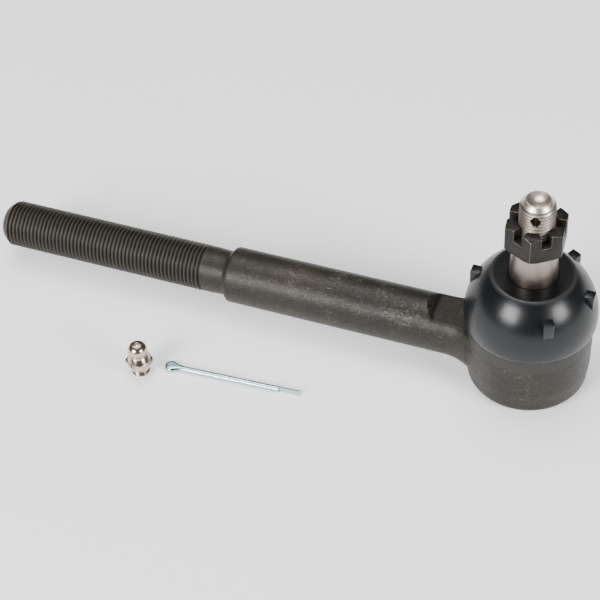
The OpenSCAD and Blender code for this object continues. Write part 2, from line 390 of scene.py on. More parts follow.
class Sheet:
    """A material's node tree, with a short method for each kind of node it needs."""

    def __init__(self, name: str) -> None:
        """Starts an empty material with one Principled shader."""
        self.material = bpy.data.materials.new(name)
        self.material.use_nodes = True
        self.tree = self.material.node_tree
        self.shader = self.tree.nodes["Principled BSDF"]
        self.place = self.tree.nodes.new("ShaderNodeTexCoord").outputs["Object"]

    def node(self, kind: str, **settings: Any) -> bpy.types.Node:
        """Adds a node and sets its properties."""
        made = self.tree.nodes.new(kind)
        for key, value in settings.items():
            setattr(made, key, value)
        return made

    def feed(self, socket: Socket, value: Any) -> None:
        """Links an output to a socket, or sets the socket's own value."""
        if isinstance(value, Socket):
            self.tree.links.new(value, socket)
        elif isinstance(value, tuple) and len(value) == 3 and socket.type == "RGBA":
            socket.default_value = (*value, 1.0)
        else:
            socket.default_value = value

    def stretched(self, scale: Spot, shift: Spot = (0, 0, 0)) -> Socket:
        """Returns the object's coordinates scaled and shifted for a directional pattern."""
        mapping = self.node("ShaderNodeMapping")
        mapping.inputs["Location"].default_value = shift
        mapping.inputs["Scale"].default_value = scale
        self.feed(mapping.inputs["Vector"], self.place)
        return mapping.outputs["Vector"]

    def noise(self, scale: float, detail: float = 4, rough: float = 0.55,
              at: Socket | None = None, distortion: float = 0) -> Socket:
        """Returns a noise value; scale is in waves per metre."""
        made = self.node("ShaderNodeTexNoise")
        self.feed(made.inputs["Vector"], at or self.place)
        for key, value in (("Scale", scale), ("Detail", detail), ("Roughness", rough),
                           ("Distortion", distortion)):
            made.inputs[key].default_value = value
        return made.outputs["Fac"]

    def ramp(self, value: Socket, *stops: tuple[float, float]) -> Socket:
        """Maps a value through grey stops of (place, brightness)."""
        made = self.node("ShaderNodeValToRGB")
        marks = made.color_ramp.elements
        while len(marks) < len(stops):
            marks.new(0.5)
        for mark, (place, level) in zip(marks, stops):
            mark.position = place
            mark.color = (level, level, level, 1)
        self.feed(made.inputs["Fac"], value)
        return made.outputs["Color"]

    def mix(self, share: Any, first: Any, second: Any) -> Socket:
        """Mixes two colours by a share."""
        made = self.node("ShaderNodeMix", data_type="RGBA")
        self.feed(made.inputs[0], share)
        self.feed(made.inputs[6], first)
        self.feed(made.inputs[7], second)
        return made.outputs[2]

    def maths(self, kind: str, first: Any, second: Any = 0.0,
              third: Any = 0.0) -> Socket:
        """Returns one arithmetic result, such as MAXIMUM or MULTIPLY_ADD."""
        made = self.node("ShaderNodeMath", operation=kind)
        for socket, value in zip(made.inputs, (first, second, third)):
            self.feed(socket, value)
        return made.outputs[0]

    def times(self, first: Any, second: Any) -> Socket:
        """Returns the product of two values."""
        return self.maths("MULTIPLY", first, second)

    def axis(self, index: int) -> Socket:
        """Returns X, Y or Z of the object's coordinates."""
        made = self.node("ShaderNodeSeparateXYZ")
        self.feed(made.inputs[0], self.place)
        return made.outputs[index]

    def distance(self, scale: Spot, shift: Spot = (0, 0, 0)) -> Socket:
        """Returns the distance from an axis; scale drops the axis's own direction."""
        made = self.node("ShaderNodeVectorMath", operation="LENGTH")
        self.feed(made.inputs[0], self.stretched(scale, shift))
        return made.outputs["Value"]

    def between(self, value: Socket, low: float, high: float) -> Socket:
        """Maps a value from low..high to 0..1, clamped."""
        made = self.node("ShaderNodeMapRange", clamp=True)
        for key, number in (("From Min", low), ("From Max", high), ("To Min", 0.0),
                            ("To Max", 1.0)):
            made.inputs[key].default_value = number
        self.feed(made.inputs["Value"], value)
        return made.outputs["Result"]

    def bump(self, height: Any, depth: float, strength: float = 1.0,
             below: Socket | None = None) -> Socket:
        """Returns a bumped normal; depth is the relief in metres."""
        made = self.node("ShaderNodeBump")
        made.inputs["Strength"].default_value = strength
        made.inputs["Distance"].default_value = depth
        self.feed(made.inputs["Height"], height)
        if below is not None:
            self.feed(made.inputs["Normal"], below)
        return made.outputs["Normal"]

    def finish(self, colour: Any, rough: Any, metal: Any, normal: Any = None,
               **others: float) -> Material:
        """Fills the shader's sockets and returns the material.

        Args:
            colour: Base colour, as a value or an output.
            rough: Roughness.
            metal: How metallic it is.
            normal: A bumped normal, or None.
            **others: Further plain values by socket name, with _ for a space.

        Returns:
            The finished material.
        """
        self.feed(self.shader.inputs["Base Color"], colour)
        self.feed(self.shader.inputs["Roughness"], rough)
        self.feed(self.shader.inputs["Metallic"], metal)
        if normal is not None:
            self.feed(self.shader.inputs["Normal"], normal)
        for key, value in others.items():
            self.shader.inputs[key.replace("_", " ")].default_value = value
        return self.material


# ---------------------------------------------------------------- looks of each material


# ---------------------------------------------------------------- finishes


@dataclass(frozen=True)
class ForgedScale:
    """Dark forged steel: brown-grey scale with fine light scratches, specks and nicks.

    Args:
        valley: Colour of the low, dark scale.
        crest: Colour of the lighter scale.
        brown: Tint of the browner patches.
        worn: Colour of scratches, specks and nicks.
        machined: Colour of the turned band under the boot.
        root: Colour of the painted shade in the thread's valleys.
        crest_highlight: Colour of the painted highlight on the thread's crests.
        oily: Colour of the darker patches on the thread.
        thread_x: Place along X below which the rolled thread begins.
        shank_z: Height of the shank axis.
        crest_highlight_r: Radii between which the thread turns from painted valley shade to
            painted crest highlight.
        nicked_from: Places along X between which the nicks of the collar fade in.
        nicked_to: Places along X between which they fade out.
        band_z: Heights between which the turned band fades in.
        band_r: Radii between which it fades out.
    """

    valley: Colour = (0.0095, 0.0086, 0.0072)
    crest: Colour = (0.028, 0.0255, 0.0215)
    brown: Colour = (0.032, 0.0245, 0.0175)
    worn: Colour = (0.32, 0.27, 0.22)
    machined: Colour = (0.034, 0.033, 0.032)
    # Painted shade for the thread's valleys and a painted highlight for its crests.
    root: Colour = (0.008, 0.007, 0.005)
    crest_highlight: Colour = (0.066, 0.057, 0.046)
    oily: Colour = (0.022, 0.018, 0.014)
    thread_x: float = -0.112
    shank_z: float = 0.0125
    crest_highlight_r: tuple[float, float] = (0.00722, 0.00785)
    nicked_from: tuple[float, float] = (-0.105, -0.060)
    nicked_to: tuple[float, float] = (-0.026, -0.036)
    band_z: tuple[float, float] = (0.0200, 0.0212)
    band_r: tuple[float, float] = (0.0212, 0.0204)

    def build(self) -> Material:
        """Builds the material."""
        sheet = Sheet("forged_scale")
        broad = sheet.ramp(sheet.noise(70, 4, 0.6), (0.35, 0.0), (0.68, 1.0))
        fine = sheet.ramp(sheet.noise(1500, 5, 0.62), (0.34, 0.0), (0.70, 1.0))
        colour = sheet.mix(fine, self.valley, self.crest)
        colour = sheet.mix(sheet.times(broad, 0.55), colour, self.brown)
        colour = sheet.mix(self._scratches(sheet), colour, self.worn)
        colour = sheet.mix(self._nicks(sheet), colour, self.worn)
        rough = sheet.maths("MULTIPLY_ADD", fine, -0.14, 0.50)
        pits = sheet.bump(sheet.noise(520, 6, 0.62), 0.00016, 0.6)
        grain = sheet.bump(sheet.noise(2600, 3, 0.6), 0.00006, 0.7, pits)
        colour = sheet.mix(self._shoulder(sheet), colour, self.machined)
        colour = self._thread(sheet, colour)
        return sheet.finish(colour, rough, 0.18, grain, Specular_IOR_Level=0.28)

    def _scratches(self, sheet: Sheet) -> Socket:
        """Returns a mask for specks and lengthwise scratches, gathered in worn patches."""
        patches = sheet.ramp(sheet.noise(75, 3, 0.6, distortion=0.4), (0.46, 0.12), (0.62, 1.0))
        specks = sheet.ramp(sheet.noise(2300, 3, 0.7), (0.60, 0.0), (0.70, 1.0))
        scratches = sheet.ramp(sheet.noise(1, 4, 0.75, sheet.stretched((330, 2300, 1700))),
                               (0.60, 0.0), (0.68, 1.0))
        marks = sheet.maths("MAXIMUM", sheet.times(specks, 0.42), sheet.times(scratches, 0.42))
        return sheet.times(marks, patches)

    def _nicks(self, sheet: Sheet) -> Socket:
        """Returns a mask for the curled light nicks on the collar."""
        swirl = sheet.noise(420, 4, 0.6, distortion=1.2)
        contour = sheet.maths("ABSOLUTE", sheet.maths("SUBTRACT", swirl, 0.5))
        nicks = sheet.times(sheet.between(contour, 0.018, 0.005),
                            sheet.ramp(sheet.noise(110, 3, 0.6), (0.50, 0.0), (0.64, 1.0)))
        collar = sheet.times(sheet.between(sheet.axis(0), *self.nicked_from),
                             sheet.between(sheet.axis(0), *self.nicked_to))
        return sheet.times(sheet.times(nicks, collar), 0.42)

    def _shoulder(self, sheet: Sheet) -> Socket:
        """Returns a mask for the turned band under the boot, with a ragged lower edge."""
        ragged = sheet.maths("MULTIPLY_ADD", sheet.noise(160, 3), 0.0016, sheet.axis(2))
        near = sheet.between(sheet.distance((1, 1, 0)), *self.band_r)
        return sheet.times(sheet.times(sheet.between(ragged, *self.band_z), near), 0.85)

    def _thread(self, sheet: Sheet, colour: Socket) -> Socket:
        """Darkens the valleys of the thread with painted shade and brightens its crests with a
        painted highlight.
        """
        radius = sheet.distance((0, 1, 1), (0, 0, -self.shank_z))
        crest = sheet.between(radius, *self.crest_highlight_r)
        along = sheet.between(sheet.axis(0), self.thread_x + EDGE, self.thread_x - EDGE)
        # Painted shade in the thread's valleys and a painted highlight on its crests, then darker
        # oily patches over them.
        worn = sheet.mix(crest, self.root, self.crest_highlight)
        worn = sheet.mix(sheet.times(sheet.noise(1400, 4, 0.7), 0.5), worn, self.oily)
        return sheet.mix(sheet.times(along, 0.85), colour, worn)


@dataclass(frozen=True)
class Rubber:
    """Smooth black moulded rubber with specks of dust and a faint painted highlight round the rim
    of its flat top.

    Args:
        dome: Colour of the round side.
        flat: Colour of the flat top.
        dust: Colour of the dust.
        rim: Colour of the painted highlight round the rim of the flat top.
        top_z: Height of the flat top.
        flat_r: Radii between which the flat top's colour fades out.
        rim_highlight_r: Radii between which the painted rim highlight fades in.
    """

    dome: Colour = (0.0045, 0.0055, 0.0070)
    flat: Colour = (0.0035, 0.0037, 0.0040)
    dust: Colour = (0.20, 0.21, 0.23)
    # Painted highlight round the rim of the flat top.
    rim: Colour = (0.16, 0.16, 0.155)
    top_z: float = 0.0451
    flat_r: tuple[float, float] = (0.0131, 0.0124)
    rim_highlight_r: tuple[float, float] = (0.0121, 0.0127)

    def build(self) -> Material:
        """Builds the material."""
        sheet = Sheet("boot_rubber")
        radius = sheet.distance((1, 1, 0))
        flat = sheet.times(sheet.between(sheet.axis(2), self.top_z - 0.0005, self.top_z - 0.0001),
                           sheet.between(radius, *self.flat_r))
        colour = sheet.mix(flat, self.dome, self.flat)
        dust = sheet.ramp(sheet.noise(2100, 4, 0.7), (0.66, 0.0), (0.80, 1.0))
        colour = sheet.mix(sheet.times(dust, 0.10), colour, self.dust)
        haze = sheet.noise(120, 4, 0.6)
        # Painted highlight: a faint lighter ring round the edge of the flat top.
        rim = sheet.times(sheet.between(sheet.axis(2), self.top_z - 0.0007, self.top_z - 0.0003),
                          sheet.between(radius, *self.rim_highlight_r))
        colour = sheet.mix(sheet.times(rim, 0.14), colour, self.rim)
        rough = sheet.maths("MULTIPLY_ADD", haze, 0.10, 0.23)
        normal = sheet.bump(sheet.noise(700, 3, 0.5), 0.00003, 0.35)
        return sheet.finish(colour, rough, 0.0, normal, Specular_IOR_Level=0.38)


@dataclass(frozen=True)
class StudSteel:
    """Ground satin steel with turning lines and a brighter rolled thread.

    Args:
        taper: Colour of the ground taper.
        lines: Colour of its turning lines.
        thread: Colour of the thread.
        root: Colour of the painted shade in the thread's valleys.
        stain: Colour of the brown stains.
        thread_z: Height at which the thread starts.
        valley_shade_r: Radii between which the painted shade fades in from crest to valley.
        side_z: Heights between which the end of the stud turns into its threaded side.
    """

    taper: Colour = (0.33, 0.285, 0.25)
    lines: Colour = (0.25, 0.22, 0.195)
    thread: Colour = (0.74, 0.67, 0.58)
    # Painted shade for the thread's valleys.
    root: Colour = (0.12, 0.095, 0.075)
    stain: Colour = (0.23, 0.18, 0.14)
    thread_z: float = 0.0575
    valley_shade_r: tuple[float, float] = (0.0054, 0.0049)
    side_z: tuple[float, float] = (0.0745, 0.0740)

    def build(self) -> Material:
        """Builds the material."""
        sheet = Sheet("stud_steel")
        rings = sheet.noise(1, 4, 0.7, sheet.stretched((40, 40, 9000)))
        stains = sheet.ramp(sheet.noise(330, 5, 0.65), (0.38, 0.0), (0.75, 1.0))
        high = sheet.between(sheet.axis(2), self.thread_z - 0.0002, self.thread_z + 0.0002)
        colour = sheet.mix(sheet.times(rings, 0.4), self.taper, self.lines)
        colour = sheet.mix(high, colour, self.thread)
        # Painted shade in the thread's valleys, below the end of the stud.
        valley = sheet.times(high, sheet.between(sheet.distance((1, 1, 0)), *self.valley_shade_r))
        side = sheet.between(sheet.axis(2), *self.side_z)
        colour = sheet.mix(sheet.times(sheet.times(valley, side), 0.8), colour, self.root)
        colour = sheet.mix(sheet.times(stains, 0.3), colour, self.stain)
        rough = sheet.maths("MULTIPLY_ADD", rings, 0.16, 0.26)
        return sheet.finish(colour, rough, 1.0, sheet.bump(rings, 0.00003, 0.5))


@dataclass(frozen=True)
class BlackOxide:
    """Dark brown-black oxide with dusty areas and light specks.

    Args:
        dark: Main colour.
        light: Colour of the dusty lighter areas.
        speck: Colour of the specks.
    """

    dark: Colour = (0.006, 0.005, 0.004)
    light: Colour = (0.024, 0.020, 0.016)
    speck: Colour = (0.26, 0.23, 0.20)

    def build(self) -> Material:
        """Builds the material."""
        sheet = Sheet("black_oxide")
        cloud = sheet.ramp(sheet.noise(480, 6, 0.65), (0.36, 0.0), (0.74, 1.0))
        specks = sheet.ramp(sheet.noise(3600, 3, 0.7), (0.62, 0.0), (0.74, 1.0))
        colour = sheet.mix(sheet.times(cloud, 0.75), self.dark, self.light)
        colour = sheet.mix(sheet.times(specks, 0.45), colour, self.speck)
        rough = sheet.maths("MULTIPLY_ADD", cloud, 0.16, 0.36)
        normal = sheet.bump(sheet.noise(1500, 5, 0.6), 0.00006, 0.6)
        return sheet.finish(colour, rough, 0.1, normal, Specular_IOR_Level=0.22)


@dataclass(frozen=True)
class BrightMetal:
    """A plated or polished metal with faint smears and fine scratches.

    Args:
        name: Name of the material.
        base: Main colour.
        stain: Colour of its duller smears.
        gloss: Roughness where it is cleanest.
        spread: How much rougher the smears are.
        share: How strongly the smears show.
        scale: Waves of the smears per metre.
        relief: Depth of its fine relief in metres.
    """

    name: str
    base: Colour
    stain: Colour
    gloss: float = 0.18
    spread: float = 0.2
    share: float = 0.35
    scale: float = 500
    relief: float = 0.00002

    def build(self) -> Material:
        """Builds the material."""
        sheet = Sheet(self.name)
        smear = sheet.ramp(sheet.noise(self.scale, 5, 0.6), (0.35, 0.0), (0.75, 1.0))
        lines = sheet.noise(self.scale * FINER, 3, 0.65)
        colour = sheet.mix(sheet.times(smear, self.share), self.base, self.stain)
        rough = sheet.maths("MULTIPLY_ADD", smear, self.spread, self.gloss)
        return sheet.finish(colour, rough, 1.0, sheet.bump(lines, self.relief, 0.5))


@dataclass(frozen=True)
class Porous:
    """Oil-filled sintered metal: matt, speckled, slightly golden.

    Args:
        base: Main colour.
        pore: Colour of its pores.
    """

    base: Colour = (0.33, 0.28, 0.20)
    pore: Colour = (0.10, 0.08, 0.055)

    def build(self) -> Material:
        """Builds the material."""
        sheet = Sheet("sintered_metal")
        pores = sheet.ramp(sheet.noise(3000, 3, 0.6), (0.55, 0.0), (0.68, 1.0))
        colour = sheet.mix(pores, self.base, self.pore)
        rough = sheet.maths("MULTIPLY_ADD", pores, 0.25, 0.38)
        return sheet.finish(colour, rough, 0.85, sheet.bump(pores, -0.00004, 0.6))


@dataclass(frozen=True)
class Paper:
    """The pale studio floor, lit from within like a light table, with a faint tooth.

    Args:
        base: Its colour.
        tooth: Colour of its tooth.
        glow: Strength of its own light.
    """

    base: Colour = (0.90, 0.90, 0.90)
    tooth: Colour = (0.8, 0.8, 0.8)
    glow: float = 0.35

    def build(self) -> Material:
        """Builds the material."""
        sheet = Sheet("studio_floor")
        colour = sheet.mix(sheet.times(sheet.noise(900, 3), 0.02), self.base, self.tooth)
        sheet.feed(sheet.shader.inputs["Emission Color"], (1.0, 1.0, 1.0))
        return sheet.finish(colour, 0.9, 0.0, Specular_IOR_Level=0.1,
                            Emission_Strength=self.glow)


# ---------------------------------------------------------------- sub-assemblies


def paint(piece: Piece, material: Material) -> None:
    """Gives a piece one material and no other."""
    piece.data.materials.clear()
    piece.data.materials.append(material)


def dress(piece: Piece, material: Material | None, body: Body, node: str) -> None:
    """Gives a finished piece its material, its body, and the plain part that it stands in for.

    Args:
        piece: The finished piece.
        material: Its material, or None if its faces already have theirs.
        body: The body it rides on.
        node: The plain part that it replaces.
    """
    if material is not None:
        paint(piece, material)
    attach(piece, body.value)
    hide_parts(node)
    LOG.info("%s rides on %s: %d faces", piece.name, body.value, len(piece.data.polygons))


def flex(piece: Piece, material: Material, bodies: tuple[Body, Body],
         node: str) -> None:
    """Gives a piece its material, bakes its place into its mesh and hides the plain part that it
    stands in for.

    Args:
        piece: The finished piece.
        material: Its material.
        bodies: The bodies at its foot and at its top, which are only named in the log.
        node: The plain part that it replaces.
    """
    paint(piece, material)
    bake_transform(piece)
    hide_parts(node)
    LOG.info("%s bends from %s to %s: %d faces", piece.name, bodies[0].value, bodies[1].value,
             len(piece.data.polygons))


@dataclass
class Forging:
    """The forged head with its collar, and the threaded shank.

    Args:
        axis_z: Height of the shank axis.
        tip_x: Distance from the head axis to the tip of the shank.
        thread_x: Distance at which the thread starts.
        plain_x: Distance at which the plain length starts.
        collar_x: Distance of the collar's front shoulder.
        thread_r: Outer radius of the thread.
        pitch: Its pitch, 18 turns to the inch.
        collar_r: Radius of the collar.
        head_r: Radius of the head.
        head_h: Height of the head.
        base_round: Radius of the rounded edge at the foot of the head.
        collar_root: Distance at which the collar starts inside the head.
        flare: How far the collar widens where it meets the head.
        chamfer: Width of the chamfer at the collar's front shoulder.
        pocket: Height above the shank axis of the milled flat, and the cutter path's radius.
        bore: Outline of the head's hollow as radius and height.
        turned: Outline of the metal turned off the shoulder and the boot's groove.
        grain: Size of the cells that soften the raw forging.
        finish: The scale.
    """

    axis_z: float = 12.5
    tip_x: float = 188.0
    thread_x: float = 112.0
    plain_x: float = 108.4
    collar_x: float = 103.0
    thread_r: float = 7.9375
    pitch: float = 1.411
    collar_r: float = 9.525
    head_r: float = 20.0
    head_h: float = 28.0
    base_round: float = 3.6
    collar_root: float = 14.4
    flare: float = 2.0
    chamfer: float = 0.7
    pocket: tuple[float, float] = (7.0, 31.0)
    bore: tuple[tuple[float, float], ...] = (
        (0.0, -1.0), (13.2, -1.0), (13.2, 0.7), (14.6, 0.7), (14.6, 2.5), (13.0, 2.5),
        (13.0, 21.5), (13.05, 21.5), (15.0, 28.0), (15.0, 29.0), (0.0, 29.0))
    turned: tuple[tuple[float, float], ...] = (
        (20.0, 19.4), (18.9, 25.4), (17.2, 25.4), (17.2, 27.0), (18.2, 27.0), (18.2, 29.0),
        (24.0, 29.0), (24.0, 19.4))
    grain: float = 0.42
    finish: ForgedScale = field(default_factory=ForgedScale)

    def along_shank(self, piece: Piece) -> None:
        """Lays a piece made about the Z axis along the shank, pointing out to -X."""
        piece.rotation_euler = (0, -math.pi / 2, 0)
        piece.location = (0, 0, self.axis_z * MM)
        settle(piece)

    def head_blank(self) -> Piece:
        """Turns the raw outside of the head."""
        foot = self.head_r - 0.5 - self.base_round
        outline = [(0.0, 0.0)] + arc((foot, self.base_round), self.base_round, -90, 0)
        outline += [(self.head_r, 9.0), (self.head_r, self.head_h), (0.0, self.head_h)]
        return turn("head", outline)

    def collar_blank(self) -> Piece:
        """Turns the collar, flared into the head, with its flat milled by a round cutter path."""
        root, foot = self.head_r - 2, self.head_r + 6
        wide = self.collar_r + self.flare
        outline = [(0.0, self.collar_root), (wide, self.collar_root), (wide, root)]
        outline += [(self.collar_r + self.flare * (1 - t) ** 2, root + (foot - root) * t)
                    for t in (0.15, 0.3, 0.45, 0.6, 0.8, 1.0)]
        outline += [(self.collar_r, self.collar_x - self.chamfer),
                    (self.collar_r - self.chamfer, self.collar_x), (0.0, self.collar_x)]
        collar = turn("collar", outline)
        self.along_shank(collar)
        level, reach = self.pocket
        floor = self.axis_z + level
        cutter = turn("pocket", [(0.0, floor), (reach, floor), (reach + 8, floor + 8),
                                 (0.0, floor + 8)], 160)
        carve(collar, cutter, Carve.CUT)
        return collar

    def raw_forging(self) -> Piece:
        """Joins head and collar and softens them into one forging."""
        raw = self.head_blank()
        carve(raw, self.collar_blank(), Carve.ADD)
        modify(raw, "REMESH", mode="VOXEL", voxel_size=self.grain * MM, adaptivity=0.0)
        modify(raw, "SMOOTH", factor=0.5, iterations=3)
        close_up(raw)
        return raw

    def threaded_shank(self) -> Piece:
        """Models the rolled thread with its chamfered tip."""
        bar = thread("thread", self.thread_r, self.pitch, self.thread_x, self.tip_x)
        top = self.thread_r + 0.5
        keep = turn("chamfer", [(0.0, self.thread_x - 1), (top, self.thread_x - 1),
                                (top, self.tip_x - 3.6), (self.thread_r - 1.5, self.tip_x - 1.0),
                                (self.thread_r - 2.4, self.tip_x - 0.15),
                                (self.thread_r - 2.9, self.tip_x), (0.0, self.tip_x)], 64)
        carve(bar, keep, Carve.KEEP)
        self.along_shank(bar)
        return bar

    def neck(self) -> Piece:
        """Turns the plain length and the neck between thread and collar."""
        neck = turn("neck", [(0.0, self.collar_x - 1), (8.4, self.collar_x - 1),
                             (8.4, self.collar_x), (7.95, self.collar_x + 0.35),
                             (7.68, self.collar_x + 0.8), (7.6, self.collar_x + 1.4),
                             (7.72, self.plain_x - 0.8), (7.8, self.plain_x),
                             (7.8, self.thread_x + 0.05), (7.2, self.thread_x + 0.6),
                             (0.0, self.thread_x + 0.6)], 96)
        self.along_shank(neck)
        return neck

    def build(self) -> Piece:
        """Builds and dresses the forging.

        Returns:
            The forging, riding on the head.
        """
        forging = self.raw_forging()
        carve(forging, turn("hollow", list(self.bore)), Carve.CUT)
        carve(forging, turn("shoulder", list(self.turned)), Carve.CUT)
        seal(forging)
        forging = join("forging", [forging, self.threaded_shank(), self.neck()])
        smooth(forging, 34)
        dress(forging, self.finish.build(), Body.HEAD, "forged_body")
        return forging


@dataclass
class DustBoot:
    """The moulded rubber boot with its five small blocks.

    Args:
        radius: Radius of the round outside.
        centre_z: Height of its centre.
        top_z: Height of the flat top.
        wall: Thickness of the wall.
        top_wall: Thickness of the flat top.
        bead: Inner radius of the lip in the head's groove.
        bead_z: Lowest and highest point of the lip.
        lugs: Directions of the blocks in degrees.
        lug_size: Width of a block, distance of its outer face, height of its top.
        bend_z: Heights in metres between which the boot would bend; not used.
        finish: The rubber.
    """

    radius: float = 21.1
    centre_z: float = 28.4
    top_z: float = 45.1
    wall: float = 1.9
    top_wall: float = 2.5
    bead: float = 17.35
    bead_z: tuple[float, float] = (25.55, 26.85)
    lugs: tuple[float, ...] = (-60.0, 0.0, 60.0, 120.0, 180.0)
    lug_size: tuple[float, float, float] = (3.5, 19.7, 41.2)
    bend_z: tuple[float, float] = (0.0266, 0.043)
    finish: Rubber = field(default_factory=Rubber)

    def shell(self) -> Piece:
        """Turns the hollow boot."""
        centre = (0.0, self.centre_z)
        inner = self.radius - self.wall
        low, high = self.bead_z
        rise = math.degrees(math.asin((self.top_z - self.centre_z) / self.radius))
        drop = math.degrees(math.asin((self.centre_z - low - 1.2) / self.radius))
        ceiling = self.top_z - self.top_wall
        inner_rise = math.degrees(math.asin((ceiling - self.centre_z) / inner))
        inner_drop = math.degrees(math.asin((self.centre_z - high) / inner))
        edge = self.radius * math.cos(math.radians(rise))
        outline = [(self.bead, low), (18.7, low), (self.radius - 0.9, low + 0.12),
                   (self.radius - 0.3, low + 0.5)]
        outline += arc(centre, self.radius, -drop, rise - 0.9, 34)
        outline += [(edge + 0.05, self.top_z - 0.12), (edge - 0.12, self.top_z - 0.02),
                    (edge - 0.4, self.top_z), (7.95, self.top_z), (7.70, self.top_z - 0.25),
                    (7.80, ceiling)]
        outline += arc(centre, inner, inner_rise, -inner_drop, 20)
        outline += [(self.bead, high)]
        return turn("boot", outline, 144)

    def lug(self, heading: float) -> Piece:
        """Models one block at a heading in degrees, sloped into the dome below."""
        width, reach, top = self.lug_size
        foot = self.centre_z + math.sqrt(self.radius ** 2 - reach ** 2) - 1.0
        root = math.sqrt(self.radius ** 2 - (top - self.centre_z) ** 2) - 1.2
        piece = draw("lug", [(root, top), (reach, top), (reach, foot), (reach - 1.2, foot)])
        bpy.ops.mesh.select_all(action="SELECT")
        bpy.ops.mesh.edge_face_add()
        bpy.ops.mesh.select_all(action="SELECT")
        bpy.ops.transform.translate(value=(0, -width / 2 * MM, 0))
        bpy.ops.mesh.extrude_region_move(TRANSFORM_OT_translate={"value": (0, width * MM, 0)})
        close_up(piece)
        edit(piece, "EDGE")
        bpy.ops.mesh.bevel(offset=0.28 * MM, segments=3, affect="EDGES")
        bpy.ops.object.mode_set(mode="OBJECT")
        piece.rotation_euler = (0, 0, math.radians(heading))
        settle(piece)
        return piece

    def build(self) -> Piece:
        """Builds and dresses the boot.

        Returns:
            The boot.
        """
        boot = join("dust_boot_skin", [self.shell()] + [self.lug(turned) for turned in self.lugs])
        smooth(boot, 40)
        flex(boot, self.finish.build(), (Body.RACE, Body.HALF_BALL), "dust_boot")
        return boot


@dataclass
class BallStud:
    """The ball stud: cut ball, neck, ground taper and a real rolled thread.

    Args:
        ball_z: Height of the ball's centre.
        ball_r: Radius of the ball.
        head_cut: How far below the centre the ball is cut off.
        neck_r: Radius of the neck.
        flare_z: Heights between which the neck flares into the taper.
        foot_r: Radius of the taper at its foot.
        taper_top: Height and radius of the taper's small end.
        thread_r: Outer radius of the thread.
        pitch: Its pitch, 20 turns to the inch.
        tip_z: Height of the tip.
        hole: Height, radius and direction in degrees of the hole across the stud.
        finish: The steel.
    """

    ball_z: float = 14.5
    ball_r: float = 9.5
    head_cut: float = 7.505
    neck_r: float = 5.605
    flare_z: tuple[float, float] = (25.5, 31.0)
    foot_r: float = 8.325
    taper_top: tuple[float, float] = (57.5, 7.0)
    thread_r: float = 5.55625
    pitch: float = 1.27
    tip_z: float = 75.7
    hole: tuple[float, float, float] = (71.2, 1.6, -83.0)
    finish: StudSteel = field(default_factory=StudSteel)

    def shaft(self) -> Piece:
        """Turns the cut ball, the neck and the taper."""
        low = -math.degrees(math.asin(self.head_cut / self.ball_r))
        top, small = self.taper_top
        outline = [(0.0, self.ball_z - self.head_cut)]
        outline += arc((0.0, self.ball_z), self.ball_r, low, -0.3, 16)
        outline += [(self.neck_r, self.ball_z - 0.05), (self.neck_r, self.flare_z[0]),
                    (self.foot_r - 0.15, self.flare_z[1] - 0.3),
                    (self.foot_r, self.flare_z[1] + 0.2), (small + 0.02, top - 0.4),
                    (small - 0.3, top), (0.0, top)]
        return turn("shaft", outline, 128)

    def tip(self) -> Piece:
        """Models the thread with its chamfered, dished end and the hole across it."""
        tip = thread("tip", self.thread_r, self.pitch, self.taper_top[0] - 0.4, self.tip_z)
        top = self.tip_z
        outer = self.thread_r + 0.4
        keep = turn("end", [(0.0, 50.0), (outer, 50.0), (outer, top - 2.55), (4.25, top - 0.5),
                            (3.98, top - 0.18), (3.8, top - 0.02), (3.62, top), (3.42, top - 0.12),
                            (2.8, top - 0.62), (1.9, top - 1.12), (1.0, top - 1.36),
                            (0.0, top - 1.4)], 72)
        carve(tip, keep, Carve.KEEP)
        height, radius, heading = self.hole
        bar = round_bar("hole", radius, 30, (0, 0, height * MM),
                        (0, math.pi / 2, math.radians(heading)), 40)
        carve(tip, bar, Carve.CUT)
        seal(tip)
        return tip

    def build(self) -> Piece:
        """Builds and dresses the stud.

        Returns:
            The stud.
        """
        stud = join("stud_skin", [self.shaft(), self.tip()])
        smooth(stud, 34)
        dress(stud, self.finish.build(), Body.STUD, "ball_stud")
        return stud


